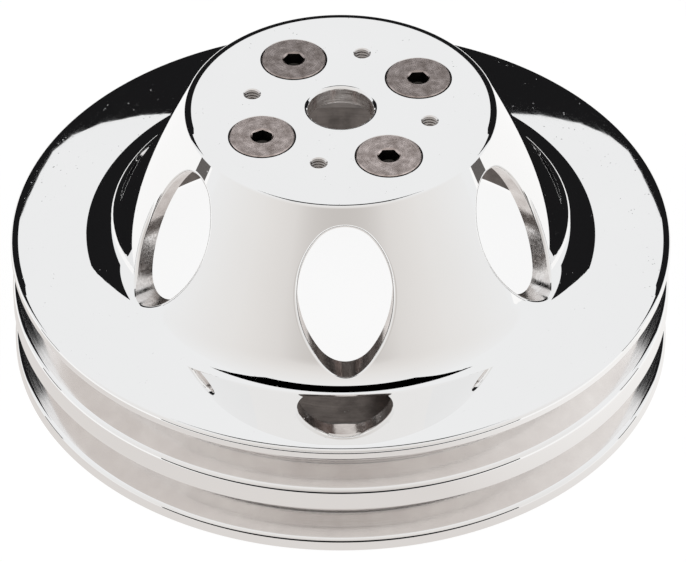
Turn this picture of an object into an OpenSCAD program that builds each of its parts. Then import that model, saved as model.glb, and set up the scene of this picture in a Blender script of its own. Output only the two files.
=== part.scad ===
// Two-groove V-belt pulley with a conical, windowed nose and four flat-head screws.
// Origin: centre of the pilot bore at the back (seating) face of the nose plate.
// +Z runs along the axis towards the nose. Millimetres.

/* [Rim] */
// Outer diameter over the lands
rim_d = 163.6; // [158:0.2:172]
// Width of the rim from its front face to its back face
rim_w = 32.5; // [31:0.5:36]
// Diameter of the hollow behind the rim
rim_bore_d = 140.8; // [138:0.2:141]
// Thickness of the web behind the rim's front face
web_t = 5; // [4:0.5:7]

/* [Grooves] */
// Number of V grooves
groove_count = 2; // [1:1:2]
// Width of a groove at the outer diameter
groove_mouth = 10.2; // [9.6:0.1:10.6]
// Depth of a groove below the lands
groove_depth = 8.5; // [7.5:0.1:9]
// Included angle of a groove
groove_angle = 36; // [34:1:38]
// Distance between the grooves
groove_pitch = 16.1; // [15.6:0.1:16.4]
// Width of the land in front of the first groove
first_land = 2.8; // [2.4:0.1:3.2]

/* [Nose] */
// Diameter of the nose at its face, to the sharp edge
nose_d = 76; // [74:0.5:78]
// Height of the nose face above the rim's front face
nose_rise = 38.5; // [36:0.5:42]
// Half angle of the cone, measured from the axis
cone_angle = 26.8; // [25:0.2:28]
// Horizontal thickness of the cone's wall
cone_wall = 4.8; // [4:0.1:5.5]
// Thickness of the nose plate
plate_t = 5; // [4.5:0.1:6]
// Radius of the fillet between the cone and the rim's front face
neck_fillet = 9.5; // [6:0.5:10]

/* [Windows] */
// Number of oval windows round the cone
window_count = 6; // [3:1:6]
// Width of a window
window_w = 22.8; // [18:0.2:24]
// Height of a window, measured along the axis
window_h = 31.5; // [28:0.5:32]
// Radius of a window's two ends
window_end_r = 8.5; // [7:0.1:9]
// Depth of a window's centre below the nose face
window_depth = 21.05; // [20.5:0.05:21.5]

/* [Pilot bore] */
// Diameter of the pilot bore
pilot_d = 16; // [14:0.1:19.1]
// Chamfer at the bore's front edge
pilot_chamfer = 0.9; // [0.5:0.1:1.2]

/* [Screws] */
// Diameter of the circle that the screws and the tapped holes share
bolt_circle = 44.45; // [42:0.05:46]
// Thread diameter of a screw
screw_d = 7.9; // [7:0.1:8]
// Diameter of the plain neck under a screw's head
neck_d = 7.1; // [6.5:0.1:7.4]
// Depth below the seating face where the neck ends
neck_depth = 0.5; // [0.3:0.1:2]
// Length of a screw, with its head
screw_len = 25.4; // [20:0.2:32]
// Diameter of a screw's head
head_d = 15.8; // [14:0.1:15.8]
// Included angle under the head, and of the countersink
head_angle = 82; // [80:1:90]
// Height of the straight edge round the head
head_edge = 0.4; // [0.2:0.1:0.6]
// Height of the head's top above the nose face
head_proud = 0.3; // [0.1:0.1:0.5]
// Width of the hex socket across its flats
socket_af = 4.76; // [4:0.01:5]
// Depth of the hex socket
socket_depth = 3.2; // [2:0.1:3.5]
// Diameter of the clearance hole for a screw
clearance_d = 8.6; // [8.4:0.1:9]
// Diameter of a countersink at the nose face
sink_d = 16.5; // [16.3:0.1:17]

/* [Cover holes] */
// Diameter of a tapped hole, inside its thread
tap_d = 3.5; // [3:0.05:4]
// Diameter of a tapped hole's countersink at the nose face
tap_sink_d = 4.3; // [4.1:0.1:5]

/* [Edges] */
// Radius of the nose's outer edge
nose_edge_r = 1.8; // [0.5:0.1:2.4]
// Radius of the rim's front edge
rim_edge_r = 1.2; // [0.5:0.1:1.6]
// Radius of the hollow's inside corners
inside_r = 3; // [2:0.5:4]
// Chamfer on the groove lips and the small edges
small_chamfer = 0.35; // [0.2:0.05:0.5]

/* [Hidden] */
$fn = 120;

rim_r = rim_d / 2;
rim_bore_r = rim_bore_d / 2;
nose_r = nose_d / 2;
face_z = plate_t;
rim_front_z = face_z - nose_rise;
rim_back_z = rim_front_z - rim_w;
web_back_z = rim_front_z - web_t;

// The cone's outer and inner radius at a height z
function cone_r(z) = nose_r + (face_z - z) * tan(cone_angle);
function hollow_r(z) = cone_r(z) - cone_wall;

groove_root = groove_mouth - 2 * groove_depth * tan(groove_angle / 2);
window_side_r = (pow(window_w / 2, 2) + pow(window_h / 2 - window_end_r, 2) - pow(window_end_r, 2))
    / (window_w - 2 * window_end_r);
pilot_r = pilot_d / 2;
bolt_r = bolt_circle / 2;
tip_chamfer = 0.8;
head_chamfer = 0.15;
window_reach = 12;
past = 1;

// Unit vector from point a to point b
function towards(a, b) = (b - a) / norm(b - a);

// The shorter turn from angle a to angle b
function turn(a, b) = let (d = b - a) d > 180 ? d - 360 : d < -180 ? d + 360 : d;

// The points of an arc of radius r that rounds a corner of an outline
function rounded(before, corner, after, r, steps = 6) =
    let (
        u = towards(corner, before),
        v = towards(corner, after),
        half = acos(u * v) / 2,
        centre = corner + (u + v) / norm(u + v) * r / sin(half),
        first = corner + u * r / tan(half) - centre,
        last = corner + v * r / tan(half) - centre,
        start = atan2(first[1], first[0]),
        sweep = turn(start, atan2(last[1], last[0]))
    )
    [for (i = [0 : steps])
        let (angle = start + sweep * i / steps)
            centre + r * [cos(angle), sin(angle)]];

// One V groove with broken lips; y is its centre
module groove_profile(y) {
    half_mouth = groove_mouth / 2;
    half_root = groove_root / 2;
    c = small_chamfer;
    lip = half_mouth - c * tan(groove_angle / 2);
    polygon([
        [rim_r - groove_depth, y - half_root],
        [rim_r - c, y - lip],
        [rim_r, y - half_mouth - c],
        [rim_r + past, y - half_mouth - c],
        [rim_r + past, y + half_mouth + c],
        [rim_r, y + half_mouth + c],
        [rim_r - c, y + lip],
        [rim_r - groove_depth, y + half_root]
    ]);
}

// Half section of the body, from the pilot bore to the rim
module body_profile() {
    c = small_chamfer;
    nose_edge = [nose_r, face_z];
    neck = [cone_r(rim_front_z), rim_front_z];
    rim_edge = [rim_r, rim_front_z];
    rim_back = [rim_r, rim_back_z];
    bore_back = [rim_bore_r, rim_back_z];
    bore_top = [rim_bore_r, web_back_z];
    web_edge = [hollow_r(web_back_z), web_back_z];
    plate_edge = [hollow_r(0), 0];
    pilot_back = [pilot_r + c, 0];
    difference() {
        polygon(concat(
            [[pilot_r, c],
            [pilot_r, face_z - pilot_chamfer],
            [pilot_r + pilot_chamfer, face_z]],
            rounded([pilot_r, face_z], nose_edge, neck, nose_edge_r),
            rounded(nose_edge, neck, rim_edge, neck_fillet, 10),
            rounded(neck, rim_edge, rim_back, rim_edge_r),
            [rim_back + [0, c],
            rim_back - [c, 0],
            bore_back + [c, 0],
            bore_back + [0, c]],
            rounded(bore_back, bore_top, web_edge, inside_r),
            [web_edge + [c, 0],
            web_edge + c * towards(web_edge, plate_edge)],
            rounded(web_edge, plate_edge, pilot_back, inside_r),
            [pilot_back]
        ));
        for (i = [0 : groove_count - 1])
            groove_profile(rim_front_z - first_land - groove_mouth / 2 - i * groove_pitch);
    }
}

// Oval of four arcs, window_w wide and window_h high
module window_outline() {
    side_x = window_side_r - window_w / 2;
    end_y = window_h / 2 - window_end_r;
    join_y = window_side_r * end_y / norm([side_x, end_y]);
    intersection() {
        translate([-side_x, 0]) circle(window_side_r);
        translate([side_x, 0]) circle(window_side_r);
        square([window_w + past, 2 * join_y], center = true);
    }
    for (s = [-1, 1])
        translate([0, s * end_y]) circle(window_end_r);
}

// A window's cutter, along +X from window_reach inside the hollow to outside the cone
module window_cutter() {
    inner_x = hollow_r(0) - window_reach;
    outer_x = cone_r(rim_front_z) + neck_fillet;
    translate([inner_x, 0, face_z - window_depth])
        rotate([90, 0, 90])
            linear_extrude(outer_x - inner_x)
                window_outline();
}

// Clearance hole and countersink for one screw, on +Z
module screw_hole() {
    sink_h = (sink_d - clearance_d) / 2 / tan(head_angle / 2);
    translate([0, 0, -past])
        cylinder(h = face_z + 2 * past, d = clearance_d);
    translate([0, 0, face_z - sink_h])
        cylinder(h = sink_h, d1 = clearance_d, d2 = sink_d);
}

// Tapped hole for the nose cover, on +Z
module cover_hole() {
    sink_h = (tap_sink_d - tap_d) / 2;
    translate([0, 0, -past])
        cylinder(h = face_z + 2 * past, d = tap_d);
    translate([0, 0, face_z - sink_h])
        cylinder(h = sink_h, d1 = tap_d, d2 = tap_sink_d);
}

// Places a child on the bolt circle
module on_circle(angle) {
    rotate([0, 0, angle])
        translate([bolt_r, 0, 0])
            children();
}

module pulley_body() {
    color([0.86, 0.86, 0.87])
        difference() {
            rotate_extrude()
                body_profile();
            for (i = [0 : window_count - 1])
                rotate([0, 0, i * 360 / window_count])
                    window_cutter();
            for (i = [0 : 3]) {
                on_circle(i * 90)
                    screw_hole();
                on_circle(i * 90 + 45)
                    cover_hole();
            }
        }
}

// Half section of a screw, its tip at y = 0
module screw_profile() {
    cone_h = (head_d - neck_d) / 2 / tan(head_angle / 2);
    neck_y = screw_len - face_z - head_proud - neck_depth;
    polygon([
        [0, 0],
        [screw_d / 2 - tip_chamfer, 0],
        [screw_d / 2, tip_chamfer],
        [screw_d / 2, neck_y],
        [neck_d / 2, neck_y],
        [neck_d / 2, screw_len - head_edge - cone_h],
        [head_d / 2, screw_len - head_edge],
        [head_d / 2, screw_len - head_chamfer],
        [head_d / 2 - head_chamfer, screw_len],
        [0, screw_len]
    ]);
}

// Flat-head hex-socket screw, head up, in its place at the given angle
module flat_head_screw(angle) {
    color([0.42, 0.40, 0.39])
        on_circle(angle)
            translate([0, 0, face_z + head_proud - screw_len])
                difference() {
                    rotate_extrude()
                        screw_profile();
                    translate([0, 0, screw_len - socket_depth])
                        cylinder(h = socket_depth + past, d = socket_af / cos(30), $fn = 6);
                }
}

module screw_east() { flat_head_screw(0); }
module screw_north() { flat_head_screw(90); }
module screw_west() { flat_head_screw(180); }
module screw_south() { flat_head_screw(270); }

pulley_body();
screw_east();
screw_north();
screw_west();
screw_south();
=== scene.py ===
"""Finished looks of the two-groove V-belt pulley and its four screws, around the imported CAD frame.

Every mesh is made from its section or outline with exact surface normals, so that the polished
metal reflects without facets. Lengths are millimetres until Skin.mesh() turns them into metres.
"""

import math

import bpy
import numpy as np
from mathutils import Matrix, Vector
from mathutils.geometry import delaunay_2d_cdt


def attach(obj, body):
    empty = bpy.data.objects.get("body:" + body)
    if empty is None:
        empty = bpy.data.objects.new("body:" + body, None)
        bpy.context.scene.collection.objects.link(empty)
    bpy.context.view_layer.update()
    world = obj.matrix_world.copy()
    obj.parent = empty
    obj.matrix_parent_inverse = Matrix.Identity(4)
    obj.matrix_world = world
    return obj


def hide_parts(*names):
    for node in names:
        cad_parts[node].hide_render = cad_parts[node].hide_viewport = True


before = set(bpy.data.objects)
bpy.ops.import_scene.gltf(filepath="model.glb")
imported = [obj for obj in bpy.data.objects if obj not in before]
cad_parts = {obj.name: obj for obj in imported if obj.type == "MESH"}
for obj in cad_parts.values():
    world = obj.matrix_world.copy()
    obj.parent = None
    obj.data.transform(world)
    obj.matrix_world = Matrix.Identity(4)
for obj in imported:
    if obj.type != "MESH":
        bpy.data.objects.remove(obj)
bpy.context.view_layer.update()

MM = 0.001

# ---------------------------------------------------------------- dimensions in millimetres

# They are the CAD's, with buffed edges, roundings and thread forms that its plain chamfers stand for.

RIM_R = 81.8
RIM_FRONT_Z = -33.5
RIM_BACK_Z = -66.0
RIM_BORE_R = 70.4
WEB_BACK_Z = -38.5
FACE_Z = 5.0
NOSE_R = 38.0
CONE_SLOPE = math.tan(math.radians(26.8))
CONE_WALL = 4.8
NECK_FILLET = 9.5
NECK_MARGIN = 0.05
BELT_TOP = 0.6
CEILING_EDGE = 4.0
NOSE_EDGE_R = 1.3
RIM_EDGE_R = 1.1
ROLL_R = 5.0
ROLL_SLOPE = math.tan(math.radians(9))
NOSE_ROLL = 1.5
RIM_ROLL = 1.5
INSIDE_R = 3.0
SMALL_CHAMFER = 0.35

GROOVE_COUNT = 2
GROOVE_MOUTH = 10.2
GROOVE_DEPTH = 8.5
GROOVE_SLOPE = math.tan(math.radians(18))
GROOVE_PITCH = 16.1
FIRST_LAND = 2.8
GROOVE_ROOT_R = 0.8
LIP_R = 0.4
LAND_TOP_R = 1.6
LAND_END = 1.3

WINDOW_COUNT = 6
WINDOW_W = 22.8
WINDOW_H = 31.5
WINDOW_END_R = 8.5
WINDOW_Z = -16.05
WINDOW_EDGE_R = 0.85

PILOT_R = 8.0
PILOT_CHAMFER = 0.6
PILOT_ROUNDING = 0.35
PILOT_INNER_R = 0.4
PILOT_OUTER_R = 0.7
BOLT_R = 22.225
SCREW_AZIMUTHS = {"screw_east": 0, "screw_north": 90, "screw_west": 180, "screw_south": 270}
CLEARANCE_R = 4.3
SINK_R = 8.25
HEAD_SLOPE = math.tan(math.radians(41))
COVER_AZIMUTHS = (45, 135, 225, 315)
COVER_TAP_R = 1.75
COVER_ROOT_R = 2.05
COVER_SINK_R = 2.15
COVER_PITCH = 0.794

SCREW_R = 3.95
SCREW_ROOT_R = 3.15
SCREW_PITCH = 1.411
SCREW_TOP_Z = 5.3
SCREW_LEN = 25.4
HEAD_R = 7.9
HEAD_EDGE = 0.4
HEAD_CHAMFER = 0.22
NECK_R = 3.55
NECK_Z = -0.5
TIP_CHAMFER = 0.8
SOCKET_AF = 4.76
SOCKET_DEPTH = 3.2
SOCKET_CHAMFER = 0.3
SOCKET_MOUTH_R = 2.85
DRILL_SLOPE = math.tan(math.radians(31))
DRILL_TIP_R = 0.3
DRILL_COLUMNS = 48

# ---------------------------------------------------------------- mesh building

COLUMNS = 360
WELD_MM = 1.37e-4
# HOLLOW_PAINTED_SHADE is painted shade: the inside of the cone, the rim bore, the web's back and the nose
# plate's underside get a near-black colour.
POLISHED, MACHINED, GROOVE, HOLLOW_PAINTED_SHADE, THREAD_PAINTED_SHADE = range(5)
# PAINTED_SHADE_FINISH is painted shade: a near-black for the hex socket, the drill point and the head's side
# and underside.
HEAD_FINISH, PAINTED_SHADE_FINISH = range(2)


class Skin:
    """Collects faces with a normal at each corner, then welds them into one closed mesh."""

    def __init__(self):
        self.faces = []

    def add(self, points, normals, finish=0):
        """Adds faces from (faces, corners, 3) points and normals, turning over those that look away."""
        points = np.asarray(points, float)
        normals = np.broadcast_to(np.asarray(normals, float), points.shape).copy()
        first = points[:, 1] - points[:, 0]
        across = points[:, 2] - points[:, 0]
        facing = np.cross(first, across)
        if points.shape[1] == 4:
            facing = np.cross(across, points[:, 3] - points[:, 1])
        away = np.einsum("ij,ij->i", facing, normals.sum(1)) < 0
        points[away] = points[away][:, ::-1]
        normals[away] = normals[away][:, ::-1]
        self.faces.append((points, normals, finish))

    def add_grid(self, points, normals, finish=0, closed=False):
        """A sheet of quads from (rows, columns, 3) points. closed joins its last column to its first."""
        if closed:
            points = np.concatenate([points, points[:, :1]], 1)
            normals = np.concatenate([normals, normals[:, :1]], 1)

        def corners(a):
            quads = np.stack([a[:-1, :-1], a[:-1, 1:], a[1:, 1:], a[1:, :-1]], 2)
            return quads.reshape(-1, 4, 3)

        self.add(corners(points), corners(normals), finish)

    def mesh(self, name, materials):
        corners = np.concatenate([p.reshape(-1, 3) for p, _, _ in self.faces])
        normals = np.concatenate([n.reshape(-1, 3) for _, n, _ in self.faces])
        normals /= np.linalg.norm(normals, axis=1)[:, None]
        keys = np.round(corners / WELD_MM).astype(np.int64)
        _, first, index = np.unique(keys, axis=0, return_index=True, return_inverse=True)
        index = index.reshape(-1)
        faces, finishes, keep, at = [], [], [], 0
        for points, _, finish in self.faces:
            count, size = points.shape[:2]
            for face in index[at:at + count * size].reshape(count, size):
                ring = [i for k, i in enumerate(face) if face[k - 1] != i]
                if len(ring) > 2:
                    keep += [at + k for k, i in enumerate(face) if face[k - 1] != i]
                    faces.append(ring)
                    finishes.append(finish)
                at += size
        made = bpy.data.meshes.new(name)
        made.from_pydata(corners[first] * MM, [], faces, shade_flat=False)
        for material in materials:
            made.materials.append(material)
        made.polygons.foreach_set("material_index", finishes)
        made.normals_split_custom_set(normals[keep].tolist())
        made.update()
        return made


def turned(rows, degrees):
    """Points and normals of section rows (r, z, nr, nz) turned to each angle, both (rows, angles, 3)."""
    rows = np.asarray(rows, float)
    angle = np.radians(np.asarray(degrees, float))
    c, s = np.cos(angle), np.sin(angle)
    r, z, nr, nz = (rows[..., k, None] for k in range(4))
    level = np.ones_like(c)
    return (np.stack([r * c, r * s, z * level], -1), np.stack([nr * c, nr * s, nz * level], -1))


def line_rows(a, b, spacing=4.0):
    """Rows along a straight stretch of the section. Metal lies on its right."""
    a, b = np.asarray(a, float), np.asarray(b, float)
    length = np.linalg.norm(b - a)
    d = (b - a) / length
    t = np.linspace(0, 1, max(2, 1 + math.ceil(length / spacing)))[:, None]
    normal = np.broadcast_to([-d[1], d[0]], (len(t), 2))
    return np.hstack([a + (b - a) * t, normal])


def corner_rows(before, corner, after, radius, steps):
    """Rows of the arc that rounds a corner of the section."""
    before, corner, after = (np.asarray(p, float) for p in (before, corner, after))
    u = (before - corner) / np.linalg.norm(before - corner)
    v = (after - corner) / np.linalg.norm(after - corner)
    half = math.acos(np.clip(u @ v, -1, 1)) / 2
    centre = corner + (u + v) / np.linalg.norm(u + v) * radius / math.sin(half)
    first = corner + u * radius / math.tan(half) - centre
    last = corner + v * radius / math.tan(half) - centre
    start = math.atan2(first[1], first[0])
    sweep = (math.atan2(last[1], last[0]) - start + math.pi) % (2 * math.pi) - math.pi
    angle = start + sweep * np.linspace(0, 1, steps + 1)
    out = np.stack([np.cos(angle), np.sin(angle)], 1)
    side = 1 if sweep < 0 else -1
    return np.hstack([centre + radius * out, side * out])


def section(corners, spacing=4.0, steps=6):
    """The stretches of a section through (r, z, radius) corners: row arrays, straight and round in turn."""
    ends = [np.array(c[:2], float) for c in corners]
    rounds = [None] * len(corners)
    for i in range(1, len(corners) - 1):
        if corners[i][2] > 0:
            rounds[i] = corner_rows(ends[i - 1], ends[i], ends[i + 1], corners[i][2], steps)
    stretches = []
    for i in range(1, len(corners)):
        a = ends[i - 1] if rounds[i - 1] is None else rounds[i - 1][-1, :2]
        b = ends[i] if rounds[i] is None else rounds[i][0, :2]
        stretches.append(line_rows(a, b, spacing))
        if rounds[i] is not None:
            stretches.append(rounds[i])
    return stretches


def add_turned(skin, stretches, finish=0, columns=COLUMNS, centre=(0.0, 0.0)):
    """Turns stretches of a section all the way round."""
    degrees = np.arange(columns) * 360 / columns
    move = np.array([*centre, 0.0])
    for rows in stretches:
        points, normals = turned(rows, degrees)
        skin.add_grid(points + move, normals, finish, closed=True)


def circle(radius, columns, centre=(0.0, 0.0)):
    angle = np.radians(np.arange(columns) * 360 / columns)
    return np.stack([centre[0] + radius * np.cos(angle), centre[1] + radius * np.sin(angle)], 1)


def inside(points, loop):
    """Whether each (x, y) point lies inside a loop, by counting the edges that a ray from it crosses."""
    a, b = loop[None], np.roll(loop, -1, 0)[None]
    x, y = points[:, None, 0], points[:, None, 1]
    spans = (a[..., 1] > y) != (b[..., 1] > y)
    rise = np.where(spans, b[..., 1] - a[..., 1], 1)
    crossing = a[..., 0] + (y - a[..., 1]) * (b[..., 0] - a[..., 0]) / rise
    return (spans & (x < crossing)).sum(1) % 2 == 1


def add_plate(skin, z, up, outer, holes, finish=0):
    """A flat face between an outer loop and hole loops of (n, 2) points."""
    loops = [outer] + holes
    flat = np.concatenate(loops)
    edges, at = [], 0
    for loop in loops:
        edges += [(at + k, at + (k + 1) % len(loop)) for k in range(len(loop))]
        at += len(loop)
    made = delaunay_2d_cdt([Vector(p) for p in flat], edges, [], 0, 1e-6)
    source = np.array([origins[0] for origins in made[3]])
    triangles = flat[source[np.array(made[2])]]
    middle = triangles.mean(1)
    sides = triangles[:, 1:] - triangles[:, :1]
    area = np.abs(np.cross(sides[:, 0], sides[:, 1])) / 2
    keep = inside(middle, outer) & (area > 1e-6)
    for hole in holes:
        keep &= ~inside(middle, hole)
    triangles = triangles[keep]
    points = np.dstack([triangles, np.full(triangles.shape[:2], z)])
    skin.add(points, [0, 0, 1 if up else -1], finish)


def bolt_point(azimuth):
    angle = math.radians(azimuth)
    return np.array([BOLT_R * math.cos(angle), BOLT_R * math.sin(angle)])


# ---------------------------------------------------------------- threads


def thread_depth(phase):
    """Share of the thread's depth at a phase of its pitch: 1 on the crest, 0 in the root, with flat ends."""
    ramp = (np.abs(phase - 0.5) - 0.0625) / 0.3125
    return 1 - np.clip(ramp, 0, 1)


def add_thread(skin, radius, z0, z1, pitch, inward=False, finish=0, centre=(0.0, 0.0), columns=48):
    """A helical surface of radius(z, phase) between z0 and z1. Its inner rows follow the helix."""
    stops = np.array([0.0, 0.125, 0.28, 0.4375, 0.5625, 0.72, 0.875])
    turn = np.arange(columns + 1) / columns

    def column(t):
        first = math.floor((z0 / pitch - t)) - 1
        last = math.ceil((z1 / pitch - t)) + 1
        rows = [(k * len(stops) + j, (k + stop + t) * pitch)
                for k in range(first, last + 1) for j, stop in enumerate(stops)]
        gap = 0.04 * pitch
        between = [(key, z) for key, z in rows if z0 + gap < z < z1 - gap]
        return [(-math.inf, z0)] + between + [(math.inf, z1)]

    lists = [column(t) for t in turn[:-1]]
    wrapped = [(key - len(stops), z) for key, z in lists[0]]
    lists.append(wrapped)

    def place(t, z):
        phase = (z / pitch - t) % 1.0
        r = radius(np.asarray(z, float), phase)
        angle = 2 * math.pi * t
        return np.stack([centre[0] + r * np.cos(angle), centre[1] + r * np.sin(angle), z], -1)

    def normal(t, z):
        step = 1e-4
        around = place(t + step, z) - place(t - step, z)
        along = place(t, z + step) - place(t, z - step)
        n = np.cross(around, along)
        n /= np.linalg.norm(n, axis=-1, keepdims=True)
        return -n if inward else n

    quads, triangles = [], []
    for i in range(columns):
        left, right = ([(turn[j], z, key) for key, z in lists[j]] for j in (i, i + 1))
        a = b = 0
        while a < len(left) - 1 or b < len(right) - 1:
            key_a = left[a + 1][2] if a < len(left) - 1 else math.inf
            key_b = right[b + 1][2] if b < len(right) - 1 else math.inf
            base = [left[a][:2], right[b][:2]]
            if key_a == key_b and a < len(left) - 1 and b < len(right) - 1:
                quads.append(base + [right[b + 1][:2], left[a + 1][:2]])
                a, b = a + 1, b + 1
            elif key_a < key_b or b == len(right) - 1:
                triangles.append(base + [left[a + 1][:2]])
                a += 1
            else:
                triangles.append(base + [right[b + 1][:2]])
                b += 1
    for group in (quads, triangles):
        if group:
            spots = np.array(group)
            inner = spots + 0.1 * (spots.mean(1, keepdims=True) - spots)
            skin.add(place(spots[..., 0], spots[..., 1]), normal(inner[..., 0], inner[..., 1]), finish)


# ---------------------------------------------------------------- the cone's windows


class Track:
    """A smooth run of the section, measured along its own length."""

    def __init__(self, stretches):
        self.rows = np.concatenate(stretches)
        steps = np.linalg.norm(np.diff(self.rows[:, :2], axis=0), axis=1)
        self.s = np.concatenate([[0], np.cumsum(steps)])
        self.length = self.s[-1]

    def at(self, s):
        return np.stack([np.interp(s, self.s, self.rows[:, k]) for k in range(4)], -1)

    def s_of_z(self, z):
        return np.interp(-np.asarray(z), -self.rows[:, 1], self.s)

    def surface(self, degrees, s):
        """Points and normals of spots given by angle and track length."""
        r, z, nr, nz = np.moveaxis(self.at(s), -1, 0)
        c, sn = np.cos(np.radians(degrees)), np.sin(np.radians(degrees))
        return np.stack([r * c, r * sn, z], -1), np.stack([nr * c, nr * sn, nz], -1)


def window_outline(count):
    """Points (y, z) of the window's oval of four arcs, from its right side upwards, and inward normals."""
    rise = WINDOW_H / 2 - WINDOW_END_R
    side_r = ((WINDOW_W / 2) ** 2 + rise ** 2 - WINDOW_END_R ** 2) / (WINDOW_W - 2 * WINDOW_END_R)
    side_c = side_r - WINDOW_W / 2
    join = math.atan2(rise, side_c)
    side_len, end_len = side_r * join, WINDOW_END_R * (math.pi / 2 - join)
    quarter = np.linspace(0, side_len + end_len, count // 4 + 1)
    angle = np.where(quarter < side_len, quarter / side_r, join + (quarter - side_len) / WINDOW_END_R)
    out = np.stack([np.cos(angle), np.sin(angle)], 1)
    on_side = np.array([-side_c, 0]) + side_r * out
    on_end = np.array([0, rise]) + WINDOW_END_R * out
    first = np.where((quarter < side_len)[:, None], on_side, on_end)
    first[-1, 0] = 0
    half = np.concatenate([first, (first * [-1, 1])[-2::-1]])
    half_out = np.concatenate([out, (out * [-1, 1])[-2::-1]])
    full = np.concatenate([half, (half * [1, -1])[-2:0:-1]])
    full_out = np.concatenate([half_out, (half_out * [1, -1])[-2:0:-1]])
    return full + [0, WINDOW_Z], -full_out


def frame_spots(track, side_steps, half_degrees):
    """Angle and track length of spots round a window's sector, one for each of the oval's points."""
    middle = track.s_of_z(WINDOW_Z)
    up = np.linspace(middle, 0, side_steps + 1)
    down = np.linspace(track.length, middle, side_steps + 1)
    top = np.arange(half_degrees, -half_degrees - 1, -1.0)
    right_up = [(half_degrees, s) for s in up[:-1]]
    over = [(a, 0.0) for a in top[:-1]]
    left_down = [(-half_degrees, s) for s in up[::-1][:-1]] + [(-half_degrees, s) for s in down[::-1][:-1]]
    under = [(a, track.length) for a in top[::-1][:-1]]
    right_low = [(half_degrees, s) for s in down[:-1]]
    return np.array(right_up + over + left_down + under + right_low)


def unit(v):
    return v / np.linalg.norm(v, axis=-1, keepdims=True)


def add_windows(skin, outer, inner):
    """The cone between its two tracks, with its windows, their walls and their rounded outer edges."""
    half_degrees, side_steps = 180 // WINDOW_COUNT, 26
    count = 4 * (half_degrees + side_steps)
    outline, wall_2d = window_outline(count)
    y, z = outline.T
    wall_normal = np.stack([np.zeros(count), wall_2d[:, 0], wall_2d[:, 1]], 1)

    def edge_spots(track):
        s = track.s_of_z(z)
        r = track.at(s)[:, 0]
        return np.degrees(np.arcsin(y / r)), s

    degrees, s = edge_spots(outer)
    edge, outer_normal = outer.surface(degrees, s)
    tangent = unit(np.roll(edge, -1, 0) - np.roll(edge, 1, 0))
    away = unit(np.cross(tangent, outer_normal))
    away *= np.sign(np.einsum("ij,ij->i", away, -wall_normal))[:, None]
    inward = unit(np.cross(tangent, wall_normal))
    inward *= np.sign(np.einsum("ij,ij->i", inward, -outer_normal))[:, None]
    cosine = np.einsum("ij,ij->i", outer_normal, wall_normal)
    reach = WINDOW_EDGE_R * np.tan(np.arccos(cosine) / 2)[:, None]
    centre = edge - WINDOW_EDGE_R * (outer_normal + wall_normal) / (1 + cosine)[:, None]
    r = outer.at(s)[:, 0]
    angle = np.radians(degrees)
    around = np.stack([-np.sin(angle), np.cos(angle), np.zeros(count)], 1)
    slope = outer.at(s + 0.01)[:, :2] - outer.at(s - 0.01)[:, :2]
    slope = unit(slope)
    along = np.stack([slope[:, 0] * np.cos(angle), slope[:, 0] * np.sin(angle), slope[:, 1]], 1)
    step = reach * away
    near_degrees = degrees + np.degrees(np.einsum("ij,ij->i", step, around) / r)
    near_s = s + np.einsum("ij,ij->i", step, along)
    lip, lip_normal = outer.surface(near_degrees, near_s)

    rounding, rounding_normals = [lip], [lip_normal]
    for share in (0.2, 0.4, 0.6, 0.8):
        n = unit((1 - share) * outer_normal + share * wall_normal)
        rounding.append(centre + WINDOW_EDGE_R * n)
        rounding_normals.append(n)
    wall_top = edge + reach * inward
    rounding.append(wall_top)
    rounding_normals.append(wall_normal)

    inner_degrees, inner_s = edge_spots(inner)
    inner_edge, _ = inner.surface(inner_degrees, inner_s)
    depth = np.linspace(0, 1, 4)[:, None, None]
    wall = wall_top + depth * (inner_edge - wall_top)
    wall_normals = np.broadcast_to(wall_normal, wall.shape)

    sheets = [(np.array(rounding), np.array(rounding_normals), POLISHED), (wall, wall_normals, MACHINED)]
    tracks = ((outer, near_degrees, near_s, np.linspace(0, 1, 11) ** 1.5, POLISHED),
              (inner, inner_degrees, inner_s, np.linspace(0, 1, 7), HOLLOW_PAINTED_SHADE))
    for track, hole_degrees, hole_s, shares, finish in tracks:
        hole = np.stack([hole_degrees, hole_s], 1)
        spots = hole + shares[:, None, None] * (frame_spots(track, side_steps, half_degrees) - hole)
        points, normals = track.surface(spots[..., 0], spots[..., 1])
        sheets.append((points, normals, finish))

    for k in range(WINDOW_COUNT):
        angle = 2 * math.pi * k / WINDOW_COUNT
        c, sn = math.cos(angle), math.sin(angle)
        spin = np.array([[c, sn, 0], [-sn, c, 0], [0, 0, 1]])
        for points, normals, finish in sheets:
            skin.add_grid(points @ spin, normals @ spin, finish, closed=True)


# ---------------------------------------------------------------- the pulley


def roll_drop(width):
    """How far a buffed edge has rolled below its face over that width."""
    return width * ROLL_SLOPE


def cone_r(z):
    return NOSE_R + (FACE_Z - z) * CONE_SLOPE


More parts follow.
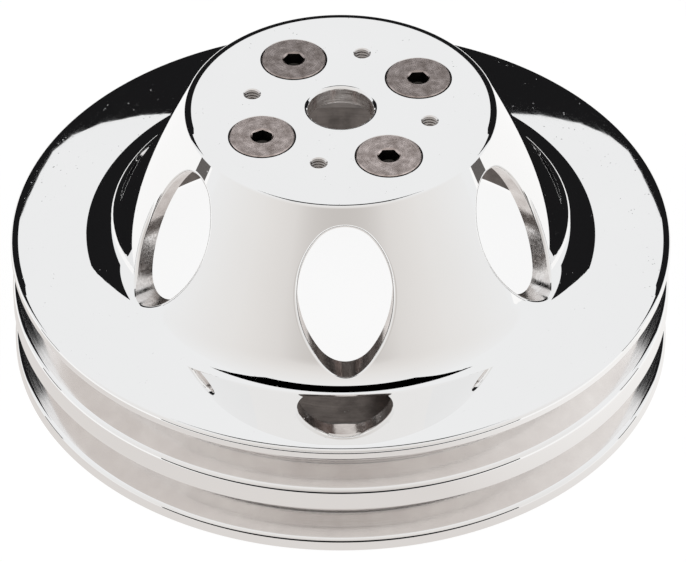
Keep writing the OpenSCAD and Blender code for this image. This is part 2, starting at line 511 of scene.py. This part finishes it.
def pulley_mesh(materials):
    """The whole one-piece body, with one material for each finish."""
    skin = Skin()
    c = SMALL_CHAMFER
    neck_r = cone_r(RIM_FRONT_Z)
    hollow_0 = cone_r(0) - CONE_WALL
    hollow_back = cone_r(WEB_BACK_Z) - CONE_WALL

    nose_roll = roll_drop(NOSE_ROLL)
    rim_roll = roll_drop(RIM_ROLL)
    pilot_top_r = PILOT_R + PILOT_CHAMFER + PILOT_ROUNDING
    outside = section([(pilot_top_r, FACE_Z, 0), (NOSE_R - NOSE_ROLL, FACE_Z, ROLL_R),
                       (NOSE_R - nose_roll * CONE_SLOPE, FACE_Z - nose_roll, NOSE_EDGE_R),
                       (neck_r, RIM_FRONT_Z, NECK_FILLET), (RIM_R - RIM_ROLL, RIM_FRONT_Z, ROLL_R),
                       (RIM_R, RIM_FRONT_Z - rim_roll, RIM_EDGE_R),
                       (RIM_R, RIM_FRONT_Z - FIRST_LAND + c, 0)], steps=9)
    _, nose_roll_rows, nose_slope, nose_edge, cone, neck, flat, *rim_edges = outside
    belt_top = cone[0] + (cone[-1] - cone[0]) * BELT_TOP / np.linalg.norm(cone[-1, :2] - cone[0, :2])
    ring_start = neck[-1, :2] + [NECK_MARGIN, 0]
    fine_neck = corner_rows((NOSE_R, FACE_Z), (neck_r, RIM_FRONT_Z), (RIM_R, RIM_FRONT_Z), NECK_FILLET, 600)
    outer = Track([line_rows(belt_top[:2], neck[0, :2]), fine_neck, line_rows(neck[-1, :2], ring_start)])
    add_turned(skin, [nose_roll_rows, nose_slope, nose_edge, line_rows(cone[0, :2], belt_top[:2]),
                      line_rows(ring_start, flat[-1, :2])] + rim_edges)

    ceiling_start = (hollow_0 - CEILING_EDGE, 0.0)
    fine_ceiling = corner_rows((hollow_back, WEB_BACK_Z), (hollow_0, 0), (PILOT_R, 0), INSIDE_R, 300)[::-1]
    web_lip = (hollow_back - c * CONE_SLOPE, WEB_BACK_Z + c)
    inner = Track([line_rows(ceiling_start, fine_ceiling[0, :2]) * [1, 1, -1, -1],
                   fine_ceiling,
                   line_rows(fine_ceiling[-1, :2], web_lip) * [1, 1, -1, -1]])
    add_windows(skin, outer, inner)

    z = RIM_FRONT_Z - FIRST_LAND
    bottom_half = GROOVE_MOUTH / 2 - GROOVE_DEPTH * GROOVE_SLOPE
    for k in range(GROOVE_COUNT):
        middle = z - GROOVE_MOUTH / 2
        upper, lower = middle + GROOVE_MOUTH / 2, middle - GROOVE_MOUTH / 2
        groove = section([(RIM_R, upper + c, 0), (RIM_R, upper, LIP_R),
                          (RIM_R - GROOVE_DEPTH, middle + bottom_half, GROOVE_ROOT_R),
                          (RIM_R - GROOVE_DEPTH, middle - bottom_half, GROOVE_ROOT_R),
                          (RIM_R, lower, LAND_TOP_R), (RIM_R, lower - LAND_END, 0)], spacing=2)
        add_turned(skin, [groove[0]], POLISHED)
        add_turned(skin, groove[1:-2], GROOVE)
        add_turned(skin, groove[-2:], POLISHED)
        is_last = k == GROOVE_COUNT - 1
        next_z = RIM_BACK_Z + c if is_last else z - GROOVE_PITCH + c
        add_turned(skin, [line_rows((RIM_R, lower - LAND_END), (RIM_R, next_z))])
        z -= GROOVE_PITCH

    back = section([(RIM_R, RIM_BACK_Z + c, 0), (RIM_R - c, RIM_BACK_Z, 0), (RIM_BORE_R + c, RIM_BACK_Z, 0),
                    (RIM_BORE_R, RIM_BACK_Z + c, 0), (RIM_BORE_R, WEB_BACK_Z, INSIDE_R),
                    (hollow_back + c, WEB_BACK_Z, 0), web_lip + (0,)])
    add_turned(skin, back[:1], POLISHED)
    add_turned(skin, back[1:3], MACHINED)
    add_turned(skin, back[3:], HOLLOW_PAINTED_SHADE)

    screw_holes = [bolt_point(a) for a in SCREW_AZIMUTHS.values()]
    cover_holes = [bolt_point(a) for a in COVER_AZIMUTHS]
    sink_h = (SINK_R - CLEARANCE_R) / HEAD_SLOPE
    cover_h = COVER_SINK_R - COVER_TAP_R
    screw_columns, cover_columns, bore_columns = 96, 48, 120

    top = [circle(pilot_top_r, bore_columns)]
    top += [circle(SINK_R, screw_columns, p) for p in screw_holes]
    top += [circle(COVER_SINK_R, cover_columns, p) for p in cover_holes]
    add_plate(skin, FACE_Z, True, circle(nose_roll_rows[0, 0], COLUMNS), top, POLISHED)

    under = [circle(PILOT_R + c, bore_columns)]
    under += [circle(CLEARANCE_R, screw_columns, p) for p in screw_holes]
    under += [circle(COVER_SINK_R, cover_columns, p) for p in cover_holes]
    add_plate(skin, 0.0, False, circle(ceiling_start[0], COLUMNS), under, HOLLOW_PAINTED_SHADE)

    bore = section([(PILOT_R + c, 0, 0), (PILOT_R, c, 0), (PILOT_R, FACE_Z - PILOT_CHAMFER, PILOT_INNER_R),
                    (PILOT_R + PILOT_CHAMFER, FACE_Z, PILOT_OUTER_R), (pilot_top_r, FACE_Z, 0)], spacing=1)
    add_turned(skin, bore[:2], MACHINED, bore_columns)
    add_turned(skin, bore[2:], POLISHED, bore_columns)
    sink = section([(CLEARANCE_R, 0, 0), (CLEARANCE_R, FACE_Z - sink_h, 0), (SINK_R, FACE_Z, 0)], spacing=1.5)
    for p in screw_holes:
        add_turned(skin, sink, MACHINED, screw_columns, p)

    def cover_radius(z, phase):
        return COVER_TAP_R + (COVER_ROOT_R - COVER_TAP_R) * thread_depth(phase)

    for p in cover_holes:
        # The threads take the darker grey of painted shade.
        add_thread(skin, cover_radius, cover_h, FACE_Z - cover_h, COVER_PITCH, True, THREAD_PAINTED_SHADE, p, cover_columns)
        add_ends(skin, cover_radius, cover_h, FACE_Z - cover_h, 0.0, FACE_Z, COVER_SINK_R, COVER_PITCH,
                 True, MACHINED, p, cover_columns)
    return skin.mesh("pulley_polished", materials)


def add_ends(skin, radius, z0, z1, end0, end1, end_r, pitch, inward, finish, centre, columns):
    """The cones that join both ends of a thread to plain circles."""
    t = np.arange(columns) / columns
    angle = 2 * np.pi * t
    for z, end in ((z0, end0), (z1, end1)):
        inner = radius(z, (z / pitch - t) % 1.0)
        rim = np.full(columns, end_r)
        points = np.stack([np.stack([centre[0] + r * np.cos(angle), centre[1] + r * np.sin(angle),
                                     np.full(columns, h)], -1) for r, h in ((inner, z), (rim, end))])
        tilt = np.sign(end - z)
        n = np.stack([np.cos(angle) * (-1 if inward else 1), np.sin(angle) * (-1 if inward else 1),
                      np.full(columns, tilt)], -1)
        skin.add_grid(points, np.stack([n, n]), finish, closed=True)


# ---------------------------------------------------------------- the screws


def hexagon(flat, turn, steps=8):
    """Points round a hexagon of that half width across its flats."""
    points = []
    for k in range(6):
        a, b = (math.radians(turn + 60 * k + 60 * j) for j in (0, 1))
        corner_a = np.array([math.cos(a), math.sin(a)]) * flat / math.cos(math.pi / 6)
        corner_b = np.array([math.cos(b), math.sin(b)]) * flat / math.cos(math.pi / 6)
        points += [corner_a + (corner_b - corner_a) * j / steps for j in range(steps)]
    return np.array(points)


def screw_mesh(name, azimuth, hex_turn, materials):
    """A flat-head socket screw with its thread, in its place on the nose plate."""
    skin = Skin()
    centre = bolt_point(azimuth)
    columns = 96
    top, tip = SCREW_TOP_Z, SCREW_TOP_Z - SCREW_LEN
    cone_h = (HEAD_R - NECK_R) / HEAD_SLOPE
    head = section([(HEAD_R - HEAD_CHAMFER, top, 0), (HEAD_R, top - HEAD_CHAMFER, 0),
                    (HEAD_R, top - HEAD_EDGE, 0), (NECK_R, top - HEAD_EDGE - cone_h, 0),
                    (NECK_R, NECK_Z, 0)], spacing=1.5)
    add_turned(skin, head[:1], HEAD_FINISH, columns, centre)
    # The head's side and the cone under it are near-black: a painted shadow in the gap round the head.
    add_turned(skin, head[1:], PAINTED_SHADE_FINISH, columns, centre)

    flat = SOCKET_AF / 2
    sides = hexagon(flat, hex_turn)
    rings = [(unit(sides) * SOCKET_MOUTH_R, top), (sides, top - SOCKET_CHAMFER), (sides, top - SOCKET_DEPTH)]
    round_about = unit(sides + np.roll(sides, -1, 0))
    outward = np.repeat([[math.cos(math.radians(hex_turn + 30 + 60 * k)),
                          math.sin(math.radians(hex_turn + 30 + 60 * k))] for k in range(6)], 8, 0)
    for (high, z_high), (low, z_low), facing, rise, finish in ((*rings[:2], round_about, 0.8, HEAD_FINISH),
                                                               (*rings[1:], outward, 0.0, PAINTED_SHADE_FINISH)):
        corners = [np.column_stack([loop + centre, np.full(len(loop), z)])
                   for loop, z in ((high, z_high), (np.roll(high, -1, 0), z_high),
                                   (np.roll(low, -1, 0), z_low), (low, z_low))]
        n = np.column_stack([-facing, np.full(len(facing), rise)])
        skin.add(np.stack(corners, 1), np.repeat(n[:, None], 4, 1), finish)

    add_plate(skin, top, True, circle(HEAD_R - HEAD_CHAMFER, columns, centre), [rings[0][0] + centre])
    floor_z = top - SOCKET_DEPTH
    drill_r = flat - 0.1
    drill_edge = circle(drill_r, DRILL_COLUMNS, centre)
    add_plate(skin, floor_z, True, rings[2][0] + centre, [drill_edge], PAINTED_SHADE_FINISH)
    drill_tip_z = floor_z - (drill_r - DRILL_TIP_R) * DRILL_SLOPE
    drill = line_rows((DRILL_TIP_R, drill_tip_z), (drill_r, floor_z), 1.0)
    add_turned(skin, [drill], PAINTED_SHADE_FINISH, DRILL_COLUMNS, centre)
    add_plate(skin, drill_tip_z, True, circle(DRILL_TIP_R, DRILL_COLUMNS, centre), [], PAINTED_SHADE_FINISH)

    def radius(z, phase):
        fade = np.clip((NECK_Z - z) / SCREW_PITCH, 0, 1)
        root = SCREW_ROOT_R + (NECK_R - SCREW_ROOT_R) * (1 - fade)
        crest = NECK_R + (SCREW_R - NECK_R) * np.clip((NECK_Z - z) / (0.35 * SCREW_PITCH), 0, 1)
        thread = root + (crest - root) * thread_depth(phase)
        return np.minimum(thread, SCREW_R - TIP_CHAMFER - 0.1 + (z - tip))

    add_thread(skin, radius, tip, NECK_Z, SCREW_PITCH, False, 0, centre, columns)
    add_plate(skin, tip, False, circle(SCREW_R - TIP_CHAMFER - 0.1, columns, centre), [])
    return skin.mesh(name, materials)


# ---------------------------------------------------------------- materials


class Nodes:
    """Short ways to add shader nodes to one material."""

    def __init__(self, name):
        self.material = bpy.data.materials.new(name)
        self.material.use_nodes = True
        self.tree = self.material.node_tree
        self.shader = self.tree.nodes["Principled BSDF"]

    def add(self, kind, inputs=None, **settings):
        node = self.tree.nodes.new("ShaderNode" + kind)
        for key, value in settings.items():
            setattr(node, key, value)
        for key, value in (inputs or {}).items():
            if isinstance(value, bpy.types.NodeSocket):
                self.tree.links.new(value, node.inputs[key])
            else:
                node.inputs[key].default_value = value
        return node

    def math(self, operation, a, b=0.0):
        return self.add("Math", {0: a, 1: b}, operation=operation).outputs[0]

    def ramp(self, value, low, high, to_low, to_high):
        return self.add("MapRange", {"Value": value, "From Min": low, "From Max": high,
                                     "To Min": to_low, "To Max": to_high}).outputs[0]

    def link(self, socket, name):
        self.tree.links.new(socket, self.shader.inputs[name])

    def mix_color(self, share, first, second):
        """Links a mix of two colours to the base colour."""
        mix = self.add("Mix", data_type="RGBA")
        mix.inputs[6].default_value = (*first, 1)
        mix.inputs[7].default_value = (*second, 1)
        self.tree.links.new(share, mix.inputs[0])
        self.link(mix.outputs[2], "Base Color")

    def turned_place(self, centre=(0.0, 0.0)):
        """A coordinate of radius from an axis, height, and angle, for marks that run round it."""
        place = self.add("TexCoord").outputs["Object"]
        moved = self.add("VectorMath", {0: place, 1: (*centre, 0.0)}, operation="SUBTRACT").outputs[0]
        x, y, z = (self.add("SeparateXYZ", {0: moved}).outputs[k] for k in range(3))
        r = self.math("SQRT", self.math("ADD", self.math("MULTIPLY", x, x), self.math("MULTIPLY", y, y)))
        angle = self.math("ARCTAN2", y, x)
        return r, z, angle, moved


def polished_aluminium():
    m = Nodes("mirror_aluminium")
    m.shader.inputs["Metallic"].default_value = 1.0
    r, z, angle, place = m.turned_place()
    rings = m.add("CombineXYZ", {0: m.math("MULTIPLY", r, 900.0), 1: m.math("MULTIPLY", z, 900.0),
                                 2: m.math("MULTIPLY", angle, 1.2)}).outputs[0]
    hairline = m.add("TexNoise", {"Vector": rings, "Scale": 1.0, "Detail": 3.0}).outputs["Fac"]
    haze = m.add("TexNoise", {"Vector": place, "Scale": 45.0, "Detail": 4.0}).outputs["Fac"]
    sheen = m.math("ADD", m.ramp(hairline, 0.35, 0.75, 0.004, 0.012), m.ramp(haze, 0.3, 0.8, 0.0, 0.006))
    nick = m.add("TexVoronoi", {"Vector": place, "Scale": 900.0}).outputs["Distance"]
    where = m.add("TexNoise", {"Vector": place, "Scale": 260.0, "Detail": 3.0}).outputs["Fac"]
    nicks = m.math("MULTIPLY", m.ramp(nick, 0.12, 0.2, 1.0, 0.0), m.ramp(where, 0.56, 0.64, 0.0, 0.2))
    m.link(m.math("ADD", sheen, nicks), "Roughness")
    m.mix_color(haze, (0.905, 0.9, 0.895), (0.93, 0.925, 0.92))
    wave = m.add("TexNoise", {"Vector": place, "Scale": 160.0, "Detail": 2.0}).outputs["Fac"]
    bump = m.add("Bump", {"Height": wave, "Strength": 1.0, "Distance": 0.0000004}).outputs[0]
    m.link(bump, "Normal")
    return m.material


def turned_metal(name, dark, light, rough, mark_mm, centre=(0.0, 0.0), patch=140.0, bump_mm=0.01):
    """Metal with fine marks that run round its axis, and patches of two tones. rough is (lowest, highest)."""
    m = Nodes(name)
    m.shader.inputs["Metallic"].default_value = 1.0
    r, z, angle, place = m.turned_place(centre)
    fine = 1 / (mark_mm * MM)
    rings = m.add("CombineXYZ", {0: m.math("MULTIPLY", r, fine), 1: m.math("MULTIPLY", z, fine),
                                 2: m.math("MULTIPLY", angle, 1.6)}).outputs[0]
    marks = m.add("TexNoise", {"Vector": rings, "Scale": 1.0, "Detail": 2.0}).outputs["Fac"]
    patches = m.add("TexNoise", {"Vector": place, "Scale": patch, "Detail": 6.0,
                                 "Roughness": 0.62}).outputs["Fac"]
    m.link(m.ramp(marks, 0.3, 0.7, *rough), "Roughness")
    m.mix_color(m.ramp(patches, 0.35, 0.65, 0.0, 1.0), dark, light)
    m.link(m.add("Bump", {"Height": marks, "Strength": 1.0, "Distance": bump_mm * MM}).outputs[0], "Normal")
    return m.material


# ---------------------------------------------------------------- pieces


def add_piece(name, mesh, body, node):
    piece = bpy.data.objects.new(name, mesh)
    bpy.context.scene.collection.objects.link(piece)
    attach(piece, body)
    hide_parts(node)
    return piece


HEX_TURNS = {"screw_east": 33, "screw_north": 29, "screw_west": 56, "screw_south": 31}
# How bright each head's oxide is: the north and east heads are painted darker than the west and south ones,
# as painted shade.
HEAD_SHADE_FACTORS = {"screw_east": 0.8, "screw_north": 0.78, "screw_west": 1.0, "screw_south": 1.03}
OXIDE_DARK = np.array([0.38, 0.319, 0.296])
OXIDE_LIGHT = np.array([0.76, 0.667, 0.639])

BODY_MATERIALS = [
    polished_aluminium(),
    turned_metal("machined_aluminium", (0.66, 0.625, 0.61), (0.93, 0.915, 0.905), (0.1, 0.24), 0.5),
    turned_metal("groove_aluminium", (0.85, 0.83, 0.82), (0.9, 0.885, 0.875), (0.09, 0.16), 0.3,
                 bump_mm=0.001),
    # Near-black aluminium inside the hollow: painted shade where the pulley shades itself.
    turned_metal("hollow_painted_shade", (0.1, 0.09, 0.085), (0.19, 0.172, 0.163), (0.25, 0.45), 0.6),
    # Darker grey for the tapped holes' threads: painted shade inside the holes.
    turned_metal("thread_painted_shade", (0.3, 0.28, 0.27), (0.48, 0.45, 0.43), (0.15, 0.3), 0.2),
]
add_piece("pulley_polished", pulley_mesh(BODY_MATERIALS), "pulley", "pulley_body")
# Near-black metal for the screws' sockets and the gaps round their heads: painted shade.
socket_painted_shade = turned_metal("socket_painted_shade", (0.03, 0.027, 0.025), (0.06, 0.055, 0.05), (0.35, 0.5), 0.4)
for screw, azimuth in SCREW_AZIMUTHS.items():
    centre = tuple(bolt_point(azimuth) * MM)
    # Each screw gets its own copy of the oxide, made darker or lighter by its painted shade factor.
    shade_factor = HEAD_SHADE_FACTORS[screw]
    head = turned_metal(screw + "_oxide_shaded", OXIDE_DARK * shade_factor, OXIDE_LIGHT * shade_factor, (0.22, 0.4), 0.18,
                        centre, 420.0, 0.02)
    mesh = screw_mesh(screw + "_threaded", azimuth, HEX_TURNS[screw], [head, socket_painted_shade])
    add_piece(screw + "_threaded", mesh, screw, screw)

# ---------------------------------------------------------------- camera

VIEW_AZIMUTH = -31.3
VIEW_ELEVATION = 38.094
VIEW_PITCH = 40.11
VIEW_DISTANCE = 1.2
TARGET = Vector((0, 0, FACE_Z * MM))
sensor, lens = 36.0, 259.0


def direction(azimuth, elevation):
    """Unit vector towards a place seen at an azimuth from the camera's side, 180 being behind the object."""
    a, e = math.radians(VIEW_AZIMUTH + azimuth), math.radians(elevation)
    return Vector((math.sin(a) * math.cos(e), -math.cos(a) * math.cos(e), math.sin(e)))


camera_data = bpy.data.cameras.new("camera")
camera_data.sensor_width = sensor
camera_data.lens = lens
camera_data.shift_x = 0.0033
camera_data.clip_start, camera_data.clip_end = 0.05, 50
camera = bpy.data.objects.new("camera", camera_data)
camera.location = TARGET + VIEW_DISTANCE * direction(0, VIEW_ELEVATION)
camera.rotation_euler = (math.radians(90 - VIEW_PITCH), 0, math.radians(VIEW_AZIMUTH))
bpy.context.scene.collection.objects.link(camera)
bpy.context.scene.camera = camera

# ---------------------------------------------------------------- floor, cards and light


def plain_material(name, color, emission=0.0, base=None):
    m = Nodes(name)
    m.shader.inputs["Base Color"].default_value = (*(base or color), 1)
    m.shader.inputs["Roughness"].default_value = 1.0
    m.shader.inputs["Specular IOR Level"].default_value = 0.0
    m.shader.inputs["Emission Color"].default_value = (*color, 1)
    m.shader.inputs["Emission Strength"].default_value = emission
    return m.material


def add_sheet(name, corners, material, camera_sees=False, lights_floor=True):
    """A flat sheet of the studio. Without lights_floor it shows in reflections only."""
    mesh = bpy.data.meshes.new(name)
    mesh.from_pydata([tuple(c) for c in corners], [], [list(range(len(corners)))])
    mesh.materials.append(material)
    sheet = bpy.data.objects.new(name, mesh)
    bpy.context.scene.collection.objects.link(sheet)
    sheet.visible_camera = camera_sees
    sheet.visible_diffuse = lights_floor
    sheet.visible_shadow = lights_floor
    return sheet


FLOOR_Z = RIM_BACK_Z * MM - 0.0002
FLOOR_HALF = 6.0


def behind(lateral, away, height):
    """A point from the nose face: to the camera's right, away from the camera along the floor, and up."""
    right = Vector((math.cos(math.radians(VIEW_AZIMUTH)), math.sin(math.radians(VIEW_AZIMUTH)), 0))
    return TARGET + right * lateral + direction(180, 0) * away + Vector((0, 0, height))


floor_white = plain_material("pale_floor", (1.0, 1.0, 1.0), emission=0.92, base=(0.14, 0.14, 0.14))
floor_corners = ((-1, -1), (1, -1), (1, 1), (-1, 1))
add_sheet("floor", [(x * FLOOR_HALF, y * FLOOR_HALF, FLOOR_Z) for x, y in floor_corners],
          floor_white, camera_sees=True)


def table_reflection():
    """Warm grey table near the object, fading to white on the camera's right."""
    m = Nodes("table_reflection")
    m.shader.inputs["Base Color"].default_value = (0, 0, 0, 1)
    m.shader.inputs["Specular IOR Level"].default_value = 0.0
    place = m.add("TexCoord").outputs["Object"]
    right = behind(1, 0, 0) - behind(0, 0, 0)
    lateral = m.add("VectorMath", {0: place, 1: tuple(right)}, operation="DOT_PRODUCT").outputs["Value"]
    mix = m.add("Mix", data_type="RGBA")
    mix.inputs[6].default_value = (0.76, 0.73, 0.71, 1)
    mix.inputs[7].default_value = (0.97, 0.96, 0.95, 1)
    m.tree.links.new(m.ramp(lateral, 0.035, 0.1, 0.0, 1.0), mix.inputs[0])
    m.link(mix.outputs[2], "Emission Color")
    m.shader.inputs["Emission Strength"].default_value = 1.0
    return m.material


TABLE_R = 0.125
add_sheet("table_card", [(*(xy * TABLE_R), FLOOR_Z + 0.0001) for xy in circle(1.0, 64)],
          table_reflection(), lights_floor=False)

black = plain_material("black_card", (0.012, 0.012, 0.013))
FLAG_DISTANCE = 1.0
FLAG_EDGE = ((1.7, 1.5), (0.85, 1.1), (0.2, 0.84), (0.166, 0.786), (0.159, 0.766), (0.152, 0.749),
             (0.145, 0.735), (0.135, 0.725), (0.12, 0.717), (0.1, 0.712), (0.06, 0.709))
FLAG_FOOT = [(-1.7, 0.35), (-0.85, -0.05), (0.85, -0.05), (1.7, 0.35)]
flag_top = [(lateral, height) for lateral, height in FLAG_EDGE]
flag_top += [(-lateral, height) for lateral, height in FLAG_EDGE[::-1]]
add_sheet("black_back", [behind(lateral, FLAG_DISTANCE, height) for lateral, height in FLAG_FOOT + flag_top],
          black)


def add_upright(name, start, end, heights, material):
    """A card that stands between two (lateral, away) spots and shows in reflections only."""
    low, high = heights
    corners = [behind(*start, low), behind(*end, low), behind(*end, high), behind(*start, high)]
    add_sheet(name, corners, material, lights_floor=False)


STRIP_HALF, STRIP_AWAY = 0.13, -0.127
STRIP_HEIGHTS = (-0.0711, -0.046)
add_upright("front_strip", (-STRIP_HALF, STRIP_AWAY), (STRIP_HALF, STRIP_AWAY), STRIP_HEIGHTS, black)

SIDE_CARD_LATERAL = 0.8
SIDE_CARD_AWAY = (0.05, 0.19)
SIDE_CARD_HEIGHTS = (-0.07, 0.06)
side_grey = plain_material("side_card", (0.16, 0.15, 0.145))
for side, side_name in ((-1, "left"), (1, "right")):
    near, far = ((side * SIDE_CARD_LATERAL, away) for away in SIDE_CARD_AWAY)
    add_upright("side_card_" + side_name, near, far, SIDE_CARD_HEIGHTS, side_grey)


def first_reflection_black(level):
    """Black where polished metal reflects it once, and as bright as the studio in later reflections."""
    m = Nodes("black_first_reflection")
    depth = m.add("LightPath").outputs["Glossy Depth"]
    later = m.math("GREATER_THAN", depth, 1.5)
    m.shader.inputs["Base Color"].default_value = (0, 0, 0, 1)
    m.shader.inputs["Specular IOR Level"].default_value = 0.0
    m.shader.inputs["Emission Color"].default_value = (1, 1, 1, 1)
    m.link(m.math("MULTIPLY", later, level), "Emission Strength")
    return m.material


STUDIO = 0.925
TOP_CARD_HEIGHT = 1.0
TOP_CARD = ((-0.27, -0.005), (0.27, -0.005), (0.31, 0.43), (-0.31, 0.43))
add_sheet("black_top", [behind(*spot, TOP_CARD_HEIGHT) for spot in TOP_CARD], first_reflection_black(STUDIO))

world = bpy.data.worlds.new("studio")
bpy.context.scene.world = world
world.use_nodes = True


def studio_light():
    """Even white, with a soft warm grey patch round the camera, as a white room has."""
    tree = world.node_tree
    background = tree.nodes["Background"]

    def add(kind, inputs, **settings):
        node = tree.nodes.new("ShaderNode" + kind)
        for key, value in settings.items():
            setattr(node, key, value)
        for key, value in inputs.items():
            if isinstance(value, bpy.types.NodeSocket):
                tree.links.new(value, node.inputs[key])
            else:
                node.inputs[key].default_value = value
        return node

    place = add("TexCoord", {}).outputs["Generated"]
    toward = tuple(direction(0, 13))
    nearness = add("VectorMath", {0: place, 1: toward}, operation="DOT_PRODUCT").outputs["Value"]
    ramp = tree.nodes.new("ShaderNodeValToRGB")
    ramp.color_ramp.interpolation = "B_SPLINE"
    stops = ((math.cos(math.radians(85)), (0.98, 0.99, 1.0)), (math.cos(math.radians(50)), (0.9, 0.88, 0.86)),
             (math.cos(math.radians(28)), (0.86, 0.835, 0.815)), (1.0, (0.62, 0.59, 0.565)))
    for spot, (share, color) in enumerate(stops):
        stop = ramp.color_ramp.elements[spot] if spot < 2 else ramp.color_ramp.elements.new(share)
        stop.position = share
        stop.color = (*color, 1)
    tree.links.new(nearness, ramp.inputs[0])
    tree.links.new(ramp.outputs[0], background.inputs["Color"])
    background.inputs["Strength"].default_value = STUDIO


studio_light()

bpy.context.scene.view_settings.view_transform = "Standard"
bpy.context.scene.view_settings.look = "None"
